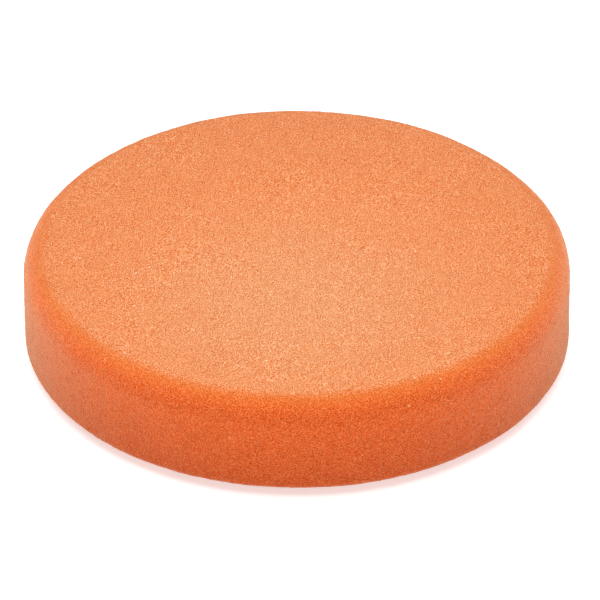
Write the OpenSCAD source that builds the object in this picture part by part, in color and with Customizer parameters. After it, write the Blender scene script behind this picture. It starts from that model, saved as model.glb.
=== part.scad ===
// Round foam polishing pad for a machine polisher, in millimetres.
// The pad lies as it is set down to dry or to be stored: hook-and-loop side down, working face up.
// The origin is the centre of the loop face, which is what a backing plate grips. +Z points to the working face.
// The layers are bonded to each other over their whole faces, so each one starts where the last one ends.

/* [Foam disc] */
// Diameter of the foam disc
foam_d = 150; // [75:1:230]
// Thickness of the whole pad, from the tips of the loops to the working face
pad_t = 30; // [20:1:50]
// Radius of the rounded edge round the working face
working_edge_r = 7.5; // [1:0.5:10]
// Radius of the edge round the foam's lower face
lower_edge_r = 2.5; // [0.5:0.5:5]

/* [Hook-and-loop backing] */
// How far the foam stands past the backing all round, so that only foam can touch the paint
backing_inset = 5; // [5:0.5:12]
// How far the adhesive stops short of the fabric's cut edge
adhesive_inset = 0.5; // [0:0.25:2]
// Thickness of the hot-melt adhesive film
adhesive_t = 0.2; // [0.1:0.05:0.4]
// Thickness of the knitted ground of the loop fabric
ground_t = 0.5; // [0.3:0.05:1]
// Height of the brushed loops that the hooks catch
pile_t = 1.1; // [0.6:0.1:2.5]

/* [Hidden] */
$fn = 96;

foam_r = foam_d / 2;
backing_r = foam_r - backing_inset;
adhesive_r = backing_r - adhesive_inset;

// The height at which each layer starts, from the loops up
pile_z = 0;
ground_z = pile_z + pile_t;
adhesive_z = ground_z + ground_t;
foam_z = adhesive_z + adhesive_t;

// The quarter of a disc that rounds an outer corner, above its centre or below it
module quarter_disc(radius, above) {
    intersection() {
        circle(radius);
        translate([0, above ? 0 : -radius])
            square(radius);
    }
}

// Half of a disc's section, from the axis to radius r and from height z0 to z1,
// with its upper outer corner rounded to radius top_r and its lower one to low_r
module rounded_section(r, z0, z1, top_r, low_r) {
    translate([0, z0 + low_r])
        square([r, z1 - z0 - top_r - low_r]);
    translate([0, z1 - top_r])
        square([r - top_r, top_r]);
    translate([r - top_r, z1 - top_r])
        quarter_disc(top_r, above = true);
    translate([0, z0])
        square([r - low_r, low_r]);
    translate([r - low_r, z0 + low_r])
        quarter_disc(low_r, above = false);
}

// A flat round layer of radius r from height z, t thick
module layer(r, z, t) {
    translate([0, 0, z])
        cylinder(r = r, h = t);
}

// Open-cell polyurethane foam, cut flat on both faces and rounded over at its rim
module foam_disc() {
    color([0.96, 0.55, 0.28])
        rotate_extrude()
            rounded_section(foam_r, foam_z, pad_t, working_edge_r, lower_edge_r);
}

// Hot-melt film that laminates the fabric to the foam
module adhesive_film() {
    color([0.93, 0.88, 0.74])
        layer(adhesive_r, adhesive_z, adhesive_t);
}

// Warp-knitted ground of the loop fabric, which carries the loops
module backing_fabric() {
    color([0.86, 0.86, 0.84])
        layer(backing_r, ground_z, ground_t);
}

// The space that the brushed loops fill, which the hooks of a backing plate reach into
module loop_pile() {
    color([0.92, 0.92, 0.90])
        layer(backing_r, pile_z, pile_t);
}

foam_disc();
adhesive_film();
backing_fabric();
loop_pile();
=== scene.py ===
"""Looks of a round foam polishing pad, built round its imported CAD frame.

The pad lies loop side down on a pale studio floor. Its layers, from the top, are a disc of open-cell foam,
a film of hot-melt adhesive, the knitted ground of the loop fabric, and the loops that a backing plate's hooks
catch. Lengths are in metres. Each layer takes its heights and radii from its CAD node's box.
"""

import math

import bpy
import numpy as np
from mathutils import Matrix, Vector


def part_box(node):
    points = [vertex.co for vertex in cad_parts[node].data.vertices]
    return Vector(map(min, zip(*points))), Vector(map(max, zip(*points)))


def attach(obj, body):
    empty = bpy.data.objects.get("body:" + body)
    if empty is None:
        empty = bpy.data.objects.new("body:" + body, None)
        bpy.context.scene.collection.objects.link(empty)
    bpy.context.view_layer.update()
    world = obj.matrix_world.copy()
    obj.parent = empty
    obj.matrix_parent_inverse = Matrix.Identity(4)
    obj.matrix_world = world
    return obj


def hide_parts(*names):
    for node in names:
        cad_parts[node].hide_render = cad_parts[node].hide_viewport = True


MM = 0.001
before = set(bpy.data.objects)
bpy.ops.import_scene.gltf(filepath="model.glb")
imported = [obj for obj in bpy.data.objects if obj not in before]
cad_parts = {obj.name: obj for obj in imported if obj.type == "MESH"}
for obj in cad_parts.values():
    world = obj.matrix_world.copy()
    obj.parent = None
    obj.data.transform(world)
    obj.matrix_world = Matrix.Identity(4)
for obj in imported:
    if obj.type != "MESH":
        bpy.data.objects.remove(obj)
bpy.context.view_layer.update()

FOAM_LOW, FOAM_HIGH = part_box("foam_disc")
FILM_LOW, FILM_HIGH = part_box("adhesive_film")
GROUND_LOW, GROUND_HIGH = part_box("backing_fabric")
PILE_LOW, PILE_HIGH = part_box("loop_pile")


# ---------------------------------------------------------------- camera

CAMERA_ELEVATION = math.radians(34.25)
CAMERA_DISTANCE = 1.8315
CAMERA_LENS_MM = 400
# The pad sits this far left of and above the middle of the picture
FRAMING_LEFT = 0.80 * MM
FRAMING_UP = 1.86 * MM


def make_camera():
    """A long lens that looks down at the middle of the pad along +Y."""
    sight = Vector((0, math.cos(CAMERA_ELEVATION), -math.sin(CAMERA_ELEVATION)))
    right = Vector((1, 0, 0))
    up = right.cross(sight)
    middle = Vector((0, 0, (FOAM_HIGH.z + PILE_LOW.z) / 2))
    aim = middle + right * FRAMING_LEFT - up * FRAMING_UP
    data = bpy.data.cameras.new("camera")
    data.lens = CAMERA_LENS_MM
    data.sensor_width = 36
    data.clip_start = 0.01
    data.clip_end = 200
    camera = bpy.data.objects.new("camera", data)
    camera.location = aim - sight * CAMERA_DISTANCE
    camera.rotation_mode = "QUATERNION"
    camera.rotation_quaternion = sight.to_track_quat("-Z", "Y")
    bpy.context.scene.collection.objects.link(camera)
    bpy.context.scene.camera = camera


# ---------------------------------------------------------------- studio

SURROUND = 0.24
WHITE_RIM = 1.1
OVERHEAD = 2.75
OVERHEAD_AIM = (0.04, -0.09, -1)
OVERHEAD_ANGLE = math.radians(60)
# The pool is a cone of light from one place to another, with this radius where it lands
POOL_W = 13
POOL_FROM = (0, 0.35, 1.1)
POOL_TO = (0, -0.03, 0.03)
POOL_R = 0.12
FLOOR_HALF = 60
# Painted light: how strongly the floor glows, though it is no lamp
FLOOR_GLOW = 0.60
# The surround is white up to the first height, as the sine of its elevation, and dim from the second
RIM_HEIGHT = (0.03, 0.10)
# Painted light: the floor starts to glow at the first distance from the pad's axis, and glows in full at the
# second, which thins the pad's shadow on it
GLOW_REACH = (50 * MM, 76 * MM)


def put_light(name, kind, energy, place=(0, 0, 0), aim=(0, 0, -1)):
    data = bpy.data.lights.new(name, kind)
    data.energy = energy
    lamp = bpy.data.objects.new(name, data)
    lamp.location = place
    lamp.rotation_mode = "QUATERNION"
    lamp.rotation_quaternion = (Vector(aim) - Vector(place)).to_track_quat("-Z", "Y")
    bpy.context.scene.collection.objects.link(lamp)
    return data


def make_studio():
    """A white floor that glows with painted light, a wide soft light overhead, and a soft pool of light on
    the working face.
    """
    scene = bpy.context.scene
    scene.view_settings.view_transform = "Standard"

    scene.world = make_surround()

    overhead = put_light("overhead_light", "SUN", OVERHEAD, aim=OVERHEAD_AIM)
    overhead.angle = OVERHEAD_ANGLE
    pool = put_light("face_pool", "SPOT", POOL_W, POOL_FROM, POOL_TO)
    pool.spot_size = 2 * math.atan(POOL_R / math.dist(POOL_FROM, POOL_TO))
    pool.spot_blend = 1.0
    pool.shadow_soft_size = 0.06

    mesh = bpy.data.meshes.new("floor")
    corners = [(x * FLOOR_HALF, y * FLOOR_HALF, 0) for x, y in ((-1, -1), (1, -1), (1, 1), (-1, 1))]
    mesh.from_pydata(corners, [], [(0, 1, 2, 3)])
    floor = bpy.data.objects.new("floor", mesh)
    mesh.materials.append(floor_material())
    scene.collection.objects.link(floor)


def make_surround():
    """An even dim surround, with a white rim that meets the far edge of the floor."""
    world = bpy.data.worlds.new("surround")
    world.use_nodes = True
    tree = world.node_tree
    split = tree.nodes.new("ShaderNodeSeparateXYZ")
    tree.links.new(tree.nodes.new("ShaderNodeTexCoord").outputs["Generated"], split.inputs[0])
    rim = tree.nodes.new("ShaderNodeMapRange")
    tree.links.new(split.outputs[2], rim.inputs["Value"])
    rim.inputs["From Min"].default_value = RIM_HEIGHT[0]
    rim.inputs["From Max"].default_value = RIM_HEIGHT[1]
    rim.inputs["To Min"].default_value = WHITE_RIM
    rim.inputs["To Max"].default_value = SURROUND
    background = tree.nodes["Background"]
    background.inputs["Color"].default_value = (1, 1, 1, 1)
    tree.links.new(rim.outputs["Result"], background.inputs["Strength"])
    return world


def floor_material():
    """Pale board that glows round the pad, though no lamp is in it: painted light, which keeps the shadow
    round the pad's foot faint.
    """
    n = Nodes("pale_floor")
    # Painted light: emission that is zero under the pad's middle and full from its rim outwards
    glow = n.remap(n.reach((1, 1, 0)), *GLOW_REACH, 0, FLOOR_GLOW, smooth=True)
    n.set(
        Base_Color=(0.70, 0.70, 0.70, 1),
        Roughness=0.7,
        Emission_Color=(1, 1, 1, 1),
        Emission_Strength=glow,
    )
    return n.material


# ---------------------------------------------------------------- material helpers

class Nodes:
    """Short calls for building one material's node tree."""

    def __init__(self, name):
        self.material = bpy.data.materials.new(name)
        self.material.use_nodes = True
        self.tree = self.material.node_tree
        self.shader = self.tree.nodes["Principled BSDF"]
        self.place = self.tree.nodes.new("ShaderNodeTexCoord").outputs["Object"]

    def put(self, target, value):
        if isinstance(value, bpy.types.NodeSocket):
            self.tree.links.new(value, target)
        else:
            target.default_value = value

    def noise(self, pitch, detail=2.0, roughness=0.5):
        """Smooth noise from 0 to 1 with lumps about pitch across."""
        node = self.tree.nodes.new("ShaderNodeTexNoise")
        self.put(node.inputs["Vector"], self.place)
        node.inputs["Scale"].default_value = 1 / pitch
        node.inputs["Detail"].default_value = detail
        node.inputs["Roughness"].default_value = roughness
        return node.outputs["Fac"]

    def cells(self, pitch, feature, where=None, output="Distance"):
        """A Voronoi pattern of cells about pitch across."""
        node = self.tree.nodes.new("ShaderNodeTexVoronoi")
        node.feature = feature
        self.put(node.inputs["Vector"], where or self.place)
        node.inputs["Scale"].default_value = 1 / pitch
        return node.outputs[output]

    def reach(self, axes, past=(0, 0, 0)):
        """The distance from the origin along those axes, once the place is moved by past."""
        moved = self.tree.nodes.new("ShaderNodeVectorMath")
        moved.operation = "ADD"
        self.put(moved.inputs[0], self.place)
        moved.inputs[1].default_value = past
        flat = self.tree.nodes.new("ShaderNodeVectorMath")
        flat.operation = "MULTIPLY"
        self.put(flat.inputs[0], moved.outputs[0])
        flat.inputs[1].default_value = axes
        length = self.tree.nodes.new("ShaderNodeVectorMath")
        length.operation = "LENGTH"
        self.put(length.inputs[0], flat.outputs[0])
        return length.outputs["Value"]

    def math(self, operation, a, b=0.0):
        node = self.tree.nodes.new("ShaderNodeMath")
        node.operation = operation
        self.put(node.inputs[0], a)
        self.put(node.inputs[1], b)
        return node.outputs[0]

    def remap(self, value, low, high, to_low=0.0, to_high=1.0, smooth=False):
        node = self.tree.nodes.new("ShaderNodeMapRange")
        if smooth:
            node.interpolation_type = "SMOOTHSTEP"
        self.put(node.inputs["Value"], value)
        node.inputs["From Min"].default_value = low
        node.inputs["From Max"].default_value = high
        node.inputs["To Min"].default_value = to_low
        node.inputs["To Max"].default_value = to_high
        return node.outputs["Result"]

    def mix(self, share, a, b):
        node = self.tree.nodes.new("ShaderNodeMix")
        node.data_type = "RGBA"
        self.put(node.inputs[0], share)
        self.put(node.inputs[6], a)
        self.put(node.inputs[7], b)
        return node.outputs[2]

    def bump(self, height, distance, strength):
        node = self.tree.nodes.new("ShaderNodeBump")
        node.inputs["Distance"].default_value = distance
        node.inputs["Strength"].default_value = strength
        self.put(node.inputs["Height"], height)
        return node.outputs["Normal"]

    def set(self, **values):
        for name, value in values.items():
            self.put(self.shader.inputs[name.replace("_", " ")], value)


# ---------------------------------------------------------------- mesh helpers

class Surface:
    """A closed surface of revolution about Z, as points and triangles from its axis to its axis.

    profile(s) gives radius, height and the outward normal's radial and upward parts at length s along the
    section, and profile.length is the whole length. Points are spacing(s) apart and jittered by that share.
    """

    def __init__(self, profile, spacing, rng, jitter):
        steps = [0.0]
        while steps[-1] < profile.length:
            steps.append(steps[-1] + spacing(steps[-1]) * math.sqrt(3) / 2)
        steps = np.array(steps) * profile.length / steps[-1]
        last = len(steps) - 1
        along, turns, rings = [], [], []
        start = 0
        for row, s in enumerate(steps):
            gap = spacing(s)
            count = 1 if row in (0, last) else max(3, round(2 * math.pi * float(profile(s)[0]) / gap))
            turn = 2 * math.pi * (np.arange(count) + rng.random()) / count
            rings.append((start, turn % (2 * math.pi)))
            start += count
            loose = 0 if count == 1 else jitter
            turns.append(turn + rng.uniform(-loose, loose, count) * 2 * math.pi / count)
            along.append(np.clip(s + rng.uniform(-loose, loose, count) * gap, 0, profile.length))
        self.along = np.concatenate(along)
        turn = np.concatenate(turns)
        self.around = np.column_stack([np.cos(turn), np.sin(turn)])
        radius, height, out, up = profile(self.along)
        self.points = np.column_stack([self.around * radius[:, None], height])
        self.normals = np.column_stack([self.around * out[:, None], up])
        self.triangles = np.vstack([strip(*rings[i], *rings[i + 1]) for i in range(last)])
        self.length = profile.length

    def layout(self, first, last):
        """Texture places, three per triangle: the section from length first to length last as one disc about
        the middle of the picture, and the rest, which is bonded to another layer, small in a corner."""
        centre = self.along[self.triangles].mean(axis=1)
        shown = (centre > min(first, last)) & (centre < max(first, last))
        reach = np.abs(self.along - first)[:, None] / abs(last - first)
        disc = 0.5 + 0.49 * self.around * np.minimum(reach, 1.02)
        rest = np.abs(self.along - (self.length if first < last else 0))[:, None] / self.length
        corner = 0.06 + 0.05 * self.around * rest
        return np.where(shown[:, None, None], disc[self.triangles], corner[self.triangles])


def strip(start_a, turn_a, start_b, turn_b):
    """Triangles that join ring a to the next ring b, whose points lie at those angles."""
    order_a, order_b = np.argsort(turn_a), np.argsort(turn_b)
    count_a, count_b = len(order_a), len(order_b)
    sorted_a, sorted_b = turn_a[order_a], turn_b[order_b]
    made = []
    if count_a > 1:
        apex = (np.searchsorted(sorted_b, sorted_a, side="right") - 1) % count_b
        made.append(np.column_stack([
            start_a + order_a[np.arange(count_a) - 1],
            start_b + order_b[apex],
            start_a + order_a,
        ]))
    if count_b > 1:
        apex = (np.searchsorted(sorted_a, sorted_b, side="left") - 1) % count_a
        made.append(np.column_stack([
            start_a + order_a[apex],
            start_b + order_b[np.arange(count_b) - 1],
            start_b + order_b,
        ]))
    return np.vstack(made)


def mesh_object(name, points, triangles, places, material):
    """A smooth-shaded piece on the root body, with its texture places in a map of its own."""
    mesh = bpy.data.meshes.new(name)
    mesh.vertices.add(len(points))
    mesh.vertices.foreach_set("co", np.ascontiguousarray(points, np.float32).ravel())
    mesh.loops.add(3 * len(triangles))
    mesh.loops.foreach_set("vertex_index", np.ascontiguousarray(triangles, np.int32).ravel())
    mesh.polygons.add(len(triangles))
    mesh.polygons.foreach_set("loop_start", np.arange(0, 3 * len(triangles), 3, dtype=np.int32))
    mesh.polygons.foreach_set("use_smooth", np.ones(len(triangles), bool))
    mesh.update(calc_edges=True)
    layout = mesh.uv_layers.new(name="OFBake")
    layout.data.foreach_set("uv", np.ascontiguousarray(places, np.float32).ravel())
    mesh.validate()
    mesh.materials.append(material)
    piece = bpy.data.objects.new(name, mesh)
    bpy.context.scene.collection.objects.link(piece)
    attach(piece, "root")
    return piece


def waves(points, rng, count, shortest, longest):
    """A smooth random field over space, about 1 in size, as a sum of plane waves of those wavelengths."""
    total = np.zeros(len(points))
    for _ in range(count):
        direction = rng.normal(size=3)
        direction /= np.linalg.norm(direction)
        length = math.exp(rng.uniform(math.log(shortest), math.log(longest)))
        phase = rng.uniform(0, 2 * math.pi)
        total += np.sin(points @ direction * (2 * math.pi / length) + phase)
    return total * math.sqrt(2 / count)


# ---------------------------------------------------------------- foam

WORKING_EDGE_R = 7.5 * MM
LOWER_EDGE_R = 2.5 * MM
FOAM_SPACING = 0.63 * MM
HIDDEN_SPACING = 4 * MM
# How far the mean surface is drawn in, so that the tips of the cells stay near the CAD outline
CELL_DEPTH = 0.12 * MM
# Some of the surface's points are open cells, sunk by a depth in this range
PIT_SHARE = 0.06
PIT_DEPTH = (0.05 * MM, 0.22 * MM)
# The pattern in the material: struts between cells, finer grain, and painted highlights for the glints of
# skins across some cells
STRUT_PITCH = 0.60 * MM
GRAIN_PITCH = 0.34 * MM
PAINTED_GLINT_PITCH = 0.5 * MM
# The pattern is bent out of true by up to the second length, over the first
BEND_PITCH = 1.2 * MM
BEND_BY = 0.35 * MM


class RoundedProfile:
    """Half a disc's section from the middle of its top, round the rim, to the middle of its base."""

    def __init__(self, radius, low, high, top_r, low_r):
        self.parts = [
            ("line", (0, high), (radius - top_r, high), (0, 1)),
            ("arc", (radius - top_r, high - top_r), top_r, math.pi / 2, 0.0),
            ("line", (radius, high - top_r), (radius, low + low_r), (1, 0)),
            ("arc", (radius - low_r, low + low_r), low_r, 0.0, -math.pi / 2),
            ("line", (radius - low_r, low), (0, low), (0, -1)),
        ]
        self.lengths = [
            math.dist(p[1], p[2]) if p[0] == "line" else p[2] * abs(p[4] - p[3])
            for p in self.parts
        ]
        self.length = sum(self.lengths)

    def __call__(self, s):
        s = np.asarray(s, float)
        out = [np.zeros_like(s) for _ in range(4)]
        start = 0.0
        for part, length in zip(self.parts, self.lengths):
            share = np.clip((s - start) / length, 0, 1)
            if part[0] == "line":
                (r0, z0), (r1, z1), (nr, nz) = part[1:]
                found = (r0 + (r1 - r0) * share, z0 + (z1 - z0) * share, nr + 0 * s, nz + 0 * s)
            else:
                (r0, z0), radius, a0, a1 = part[1:]
                angle = a0 + (a1 - a0) * share
                nr, nz = np.cos(angle), np.sin(angle)
                found = (r0 + radius * nr, z0 + radius * nz, nr, nz)
            here = s >= start
            out = [np.where(here, new, old) for new, old in zip(found, out)]
            start += length
        return out


def foam_material():
    """Open-cell polyurethane foam: pale struts round dark pits, partly the foam's own grain and partly
    painted light on the struts' tips and painted shade in the pits.

    The foot, the side, the rounded edge, and the rim and middle of the face each have their own colours.
    These are lit and shaded copies of the foam's one orange, set to look right in this studio, so part of the
    light is in them: the face is painted lit, the side painted shaded and darker towards its foot, and the
    middle of the face holds a painted pool of light.
    """
    n = Nodes("open_cell_foam")
    bend = n.tree.nodes.new("ShaderNodeTexNoise")
    n.put(bend.inputs["Vector"], n.place)
    bend.inputs["Scale"].default_value = 1 / BEND_PITCH
    warped = n.tree.nodes.new("ShaderNodeVectorMath")
    warped.operation = "MULTIPLY_ADD"
    n.put(warped.inputs[0], bend.outputs["Color"])
    warped.inputs[1].default_value = (BEND_BY,) * 3
    n.put(warped.inputs[2], n.place)
    place = warped.outputs[0]

    strut = n.remap(n.cells(STRUT_PITCH, "DISTANCE_TO_EDGE", place), 0.02, 0.30, 1.0, 0.0, smooth=True)
    grain = n.remap(n.noise(GRAIN_PITCH, detail=1.0, roughness=0.6), 0.28, 0.72)
    height = n.math("ADD", n.math("MULTIPLY", strut, 0.35), n.math("MULTIPLY", grain, 0.65))

    # 1 on the flat of the working face, 0 on the side, and falling fast as the edge turns down. It picks the
    # painted lit colours of the face over the painted shaded ones of the side
    turned = n.remap(n.reach((1, 1, 0)), FOAM_HIGH.x - 0.3 * MM, FOAM_HIGH.x - 6.5 * MM)
    above = n.remap(n.reach((0, 0, 1)), FOAM_HIGH.z - 10 * MM, FOAM_HIGH.z - WORKING_EDGE_R)
    face = n.math("MULTIPLY", n.math("POWER", turned, 1.5), above)
    # Painted pool of light: the face is palest a little in front of its middle
    pale = n.remap(n.reach((1, 1, 0), (0, 28 * MM, 0)), 68 * MM, 4 * MM, smooth=True)

    def shade(base, side, edge, rim, middle):
        """Blends painted light and shade: colours for the side, painted darker from its foot up, the rounded
        edge, and the lit face, from its rim in to its painted pool of light.
        """
        # Painted shade: the side's colour darkens towards its foot
        shaded_walls = n.mix(n.remap(n.reach((0, 0, 1)), 3 * MM, 22 * MM), base, side)
        turning = n.mix(n.remap(face, 0.0, 0.5), shaded_walls, edge)
        return n.mix(n.remap(face, 0.5, 1.0), turning, n.mix(pale, rim, middle))

    # Dark pits, body and pale tips, each from the shaded foot up to the lit middle of the face: the foam's
    # own grain, with painted shade in the pits and painted light on the tips
    pit = shade(
        (0.46, 0.044, 0.002, 1), (0.60, 0.056, 0.002, 1), (0.64, 0.095, 0.005, 1),
        (0.62, 0.064, 0.003, 1), (0.62, 0.092, 0.008, 1),
    )
    body = shade(
        (0.70, 0.080, 0.007, 1), (0.90, 0.107, 0.010, 1), (0.80, 0.151, 0.022, 1),
        (0.78, 0.181, 0.031, 1), (0.715, 0.224, 0.056, 1),
    )
    tip = shade(
        (0.80, 0.20, 0.065, 1), (1.0, 0.28, 0.085, 1), (0.93, 0.31, 0.09, 1),
        (1.0, 0.51, 0.27, 1), (1.0, 0.57, 0.34, 1),
    )
    colour = n.mix(n.remap(height, 0.10, 0.50), pit, body)
    colour = n.mix(n.remap(height, 0.50, 0.90), colour, tip)
    # Painted highlights: rare bright specks on the higher struts, cream on the lit face and orange on the
    # side
    painted_glint = n.remap(n.cells(PAINTED_GLINT_PITCH, "F1", place, output="Color"), 0.93, 0.97)
    painted_glint = n.math("MULTIPLY", painted_glint, n.remap(height, 0.35, 0.75))
    colour = n.mix(painted_glint, colour, n.mix(face, (1.0, 0.48, 0.22, 1), (1.0, 0.82, 0.60, 1)))
    mottle = n.remap(n.noise(5 * MM, detail=3.0), 0.3, 0.7, 0.98, 1.02)
    mottled = n.tree.nodes.new("ShaderNodeVectorMath")
    mottled.operation = "SCALE"
    n.put(mottled.inputs[0], colour)
    n.put(mottled.inputs["Scale"], mottle)

    n.set(
        Base_Color=mottled.outputs[0],
        Roughness=n.remap(height, 0.2, 0.9, 0.95, 0.6),
        Sheen_Weight=0.62,
        Sheen_Roughness=0.42,
        Sheen_Tint=(1.0, 0.96, 0.62, 1),
        Specular_IOR_Level=0.05,
        Normal=n.bump(height, 0.22 * MM, 0.8),
    )
    return n.material


def make_foam():
    rng = np.random.default_rng(11)
    radius = FOAM_HIGH.x
    profile = RoundedProfile(radius, FOAM_LOW.z, FOAM_HIGH.z, WORKING_EDGE_R, LOWER_EDGE_R)
    bonded_from = profile.length - GROUND_HIGH.x

    def spacing(s):
        beyond = max(s - bonded_from - 3 * MM, 0)
        return min(FOAM_SPACING + beyond / 2, HIDDEN_SPACING)

    surface = Surface(profile, spacing, rng, 0.24)
    points = surface.points
    count = len(points)
    wander = 0.05 * MM * waves(points, rng, 24, 18 * MM, 60 * MM)
    wander += 0.02 * MM * waves(points, rng, 24, 3 * MM, 9 * MM)
    pores = rng.normal(size=count) * 0.03 * MM
    pores -= np.where(rng.random(count) < PIT_SHARE, rng.uniform(*PIT_DEPTH, count), 0)
    shift = np.where(surface.along < bonded_from, wander + pores - CELL_DEPTH, 0)
    foam = mesh_object(
        "foam_pad",
        points + surface.normals * shift[:, None],
        surface.triangles,
        surface.layout(0, bonded_from + 2 * MM),
        foam_material(),
    )
    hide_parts("foam_disc")


# ---------------------------------------------------------------- adhesive

def cut_edge(points, radius, rng, depth):
    """Moves the points near a disc's rim in and out by up to depth, as a cut or squeezed edge runs."""
    turn = np.arctan2(points[:, 1], points[:, 0])
    wave = np.zeros(len(points))
    for _ in range(30):
        lobes = rng.integers(5, 160)
        wave += np.sin(turn * lobes + rng.uniform(0, 2 * math.pi))
    wave = np.clip(wave / 8, -1, 1)
    near = np.clip((np.hypot(points[:, 0], points[:, 1]) - radius + 3 * MM) / (3 * MM), 0, 1)
    points[:, :2] *= (1 + wave * near * depth / radius)[:, None]


def adhesive_material():
    """Clear amber hot-melt, slightly glossy, with the streaks of the roller that laid it."""
    n = Nodes("hot_melt_adhesive")
    streaks = n.noise(2.5 * MM, detail=4.0, roughness=0.6)
    blisters = n.cells(1.4 * MM, "SMOOTH_F1")
    colour = n.mix(n.remap(streaks, 0.3, 0.7), (0.80, 0.68, 0.42, 1), (0.90, 0.83, 0.62, 1))
    height = n.math("ADD", n.math("MULTIPLY", streaks, 0.6), n.math("MULTIPLY", blisters, 0.4))
    n.set(
        Base_Color=colour,
        Roughness=n.remap(streaks, 0.2, 0.8, 0.28, 0.5),
        Normal=n.bump(height, 0.08 * MM, 0.6),
    )
    return n.material


def make_adhesive():
    rng = np.random.default_rng(31)
    radius = FILM_HIGH.x
    thickness = FILM_HIGH.z - FILM_LOW.z
    profile = RoundedProfile(radius, FILM_LOW.z, FILM_HIGH.z, thickness * 0.45, thickness * 0.45)
    middle = profile.length / 2

    def spacing(s):
        return min(max(abs(s - middle) * 0.4, 0.08 * MM) + 0.5 * MM, HIDDEN_SPACING)

    surface = Surface(profile, spacing, rng, 0.2)
    cut_edge(surface.points, radius, rng, 0.35 * MM)
    film = mesh_object(
        "adhesive_layer",
        surface.points,
        surface.triangles,
        surface.layout(0, middle + 2 * MM),
        adhesive_material(),
    )
    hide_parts("adhesive_film")
    return film


# ---------------------------------------------------------------- loop fabric

WALE = 1.2 * MM
COURSE = 0.9 * MM
LOOP_PITCH = 1.68 * MM
YARN_R = 0.13 * MM


def knit_material():
    """Warp-knitted nylon ground: rows of small stitches, with painted shade in the gaps between them."""
    n = Nodes("knitted_ground")
    split = n.tree.nodes.new("ShaderNodeSeparateXYZ")
    n.put(split.inputs[0], n.place)
    across, length = split.outputs[0], split.outputs[1]
    wobble = n.remap(n.noise(4 * MM, detail=2.0), 0, 1, -0.8, 0.8)
    wale = n.math("SINE", n.math("ADD", n.math("MULTIPLY", across, 2 * math.pi / WALE), wobble))
    slant = n.math("MULTIPLY", wale, 1.1)
    course = n.math("SINE", n.math("ADD", n.math("MULTIPLY", length, 2 * math.pi / COURSE), slant))
    yarn = n.math("ADD", n.math("MULTIPLY", wale, 0.5), n.math("MULTIPLY", course, 0.5))
    fibre = n.noise(0.12 * MM, detail=3.0, roughness=0.65)
    height = n.math("ADD", n.remap(yarn, -1, 1), n.math("MULTIPLY", fibre, 0.35))
    # Painted shade: the lower the knit's surface, the darker its colour
    colour = n.mix(n.remap(height, 0.25, 1.05), (0.42, 0.42, 0.40, 1), (0.76, 0.76, 0.73, 1))
    n.set(
        Base_Color=colour,
        Roughness=n.remap(fibre, 0.2, 0.8, 0.7, 0.95),
        Sheen_Weight=0.25,
        Sheen_Roughness=0.5,
        Normal=n.bump(height, 0.18 * MM, 0.9),
    )
    return n.material


def loop_material():
    """Brushed nylon loops: off-white yarn with fine filaments and small differences from loop to loop."""
    n = Nodes("loop_yarn")
    patch = n.noise(1.3 * MM, detail=1.0)
    filament = n.noise(0.07 * MM, detail=3.0, roughness=0.7)
    colour = n.mix(n.remap(patch, 0.3, 0.7), (0.66, 0.66, 0.63, 1), (0.84, 0.84, 0.82, 1))
    colour = n.mix(n.remap(filament, 0.5, 0.3, 0.0, 0.5), colour, (0.48, 0.48, 0.46, 1))
    n.set(
        Base_Color=colour,
        Roughness=n.remap(filament, 0.2, 0.8, 0.55, 0.85),
        Sheen_Weight=0.3,
        Sheen_Roughness=0.4,
        Normal=n.bump(filament, 0.03 * MM, 0.7),
    )
    return n.material


def make_ground():
    rng = np.random.default_rng(41)
    radius = GROUND_HIGH.x
    profile = RoundedProfile(radius, GROUND_LOW.z, GROUND_HIGH.z, 0.12 * MM, 0.16 * MM)
    bonded_to = radius - 3 * MM

    def spacing(s):
        return min(0.8 * MM + max(bonded_to - s, 0) / 2, HIDDEN_SPACING)

    surface = Surface(profile, spacing, rng, 0.2)
    cut_edge(surface.points, radius, rng, 0.2 * MM)
    below = surface.along > profile.length - radius
    shift = np.where(below, rng.normal(size=len(below)) * 0.02 * MM, 0)
    ground = mesh_object(
        "loop_fabric",
        surface.points + surface.normals * shift[:, None],
        surface.triangles,
        surface.layout(profile.length, bonded_to),
        knit_material(),
    )
    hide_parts("backing_fabric")
    return ground


def loop_feet(rng):
    """The middles of the loops, on staggered rows that fill the fabric to its rim."""
    reach = PILE_HIGH.x
    rows = math.ceil(reach / (LOOP_PITCH * math.sqrt(3) / 2))
    places = [
        ((column + row % 2 / 2) * LOOP_PITCH, row * LOOP_PITCH * math.sqrt(3) / 2)
        for row in range(-rows, rows + 1)
        for column in range(-rows - 2, rows + 3)
    ]
    places = np.array(places) + rng.normal(size=(len(places), 2)) * 0.22 * MM
    return places[np.hypot(*places.T) < reach - 0.75 * MM]


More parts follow.
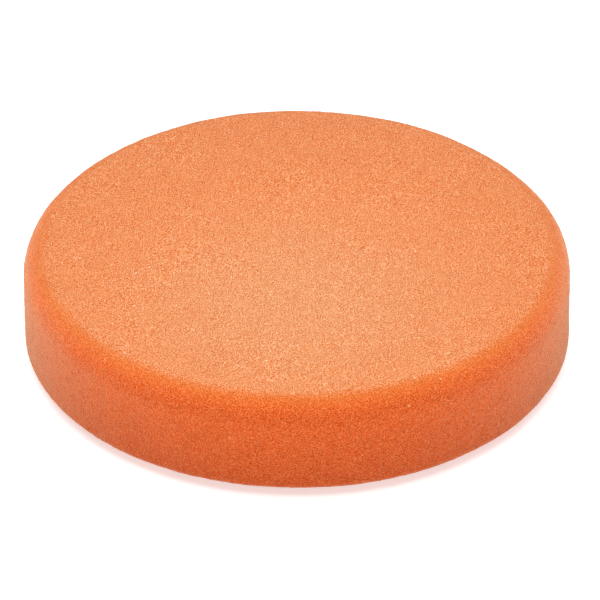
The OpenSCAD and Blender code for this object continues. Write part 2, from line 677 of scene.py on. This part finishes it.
def make_loops():
    """Loops of yarn that stand out of the ground, each a bulging arch that leans a little."""
    rng = np.random.default_rng(43)
    feet = loop_feet(rng)
    count = len(feet)
    steps, sides = 6, 3
    heading = math.pi / 2 + rng.normal(size=count) * 0.6
    along = np.column_stack([np.cos(heading), np.sin(heading), np.zeros(count)])
    half = rng.uniform(0.38, 0.62, count) * MM
    drop = (GROUND_LOW.z - PILE_LOW.z - YARN_R) * rng.uniform(0.78, 1.0, count)
    lean = rng.normal(size=(count, 2)) * 0.2 * MM
    t = np.linspace(0, 1, steps)
    rise = np.sin(math.pi * t)
    spread = -np.cos(math.pi * t) * (1 + 0.45 * rise)
    path = along[:, None, :] * (half[:, None] * spread)[..., None]
    path[..., :2] += feet[:, None, :] + lean[:, None, :] * (rise ** 2)[None, :, None]
    path[..., 2] = GROUND_LOW.z + YARN_R - (drop + YARN_R)[:, None] * rise ** 0.75

    tangent = np.gradient(path, axis=1)
    tangent /= np.linalg.norm(tangent, axis=2, keepdims=True)
    side = np.cross(along, (0, 0, 1.0))[:, None, :] + 0 * tangent
    other = np.cross(tangent, side)
    other /= np.linalg.norm(other, axis=2, keepdims=True)
    turn = 2 * math.pi * np.arange(sides) / sides
    ring = side[..., None, :] * np.cos(turn)[:, None] + other[..., None, :] * np.sin(turn)[:, None]
    points = path[..., None, :] + ring * YARN_R
    points[..., 2] = np.maximum(points[..., 2], PILE_LOW.z)

    def corner(step, k):
        return step * sides + k % sides

    faces = [(corner(0, 0), corner(0, 2), corner(0, 1))]
    for step in range(steps - 1):
        for k in range(sides):
            a, b = corner(step, k), corner(step, k + 1)
            c, d = corner(step + 1, k + 1), corner(step + 1, k)
            faces += [(a, b, d), (b, c, d)]
    faces.append((corner(steps - 1, 0), corner(steps - 1, 1), corner(steps - 1, 2)))
    faces = np.array(faces)
    triangles = (faces + (np.arange(count) * steps * sides)[:, None, None]).reshape(-1, 3)

    # Each loop has its own small tile of texture
    tiles = math.ceil(math.sqrt(count))
    tile = np.column_stack([np.arange(count) % tiles, np.arange(count) // tiles])
    inside = np.column_stack([faces.ravel() % sides / (sides - 1), faces.ravel() // sides / (steps - 1)])
    places = (tile[:, None, :] + 0.15 + 0.7 * inside) / tiles
    loops = mesh_object("yarn_loops", points.reshape(-1, 3), triangles, places, loop_material())
    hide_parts("loop_pile")
    return loops


def make_backing():
    film = make_adhesive()
    ground = make_ground()
    loops = make_loops()


make_camera()
make_studio()
make_foam()
make_backing()
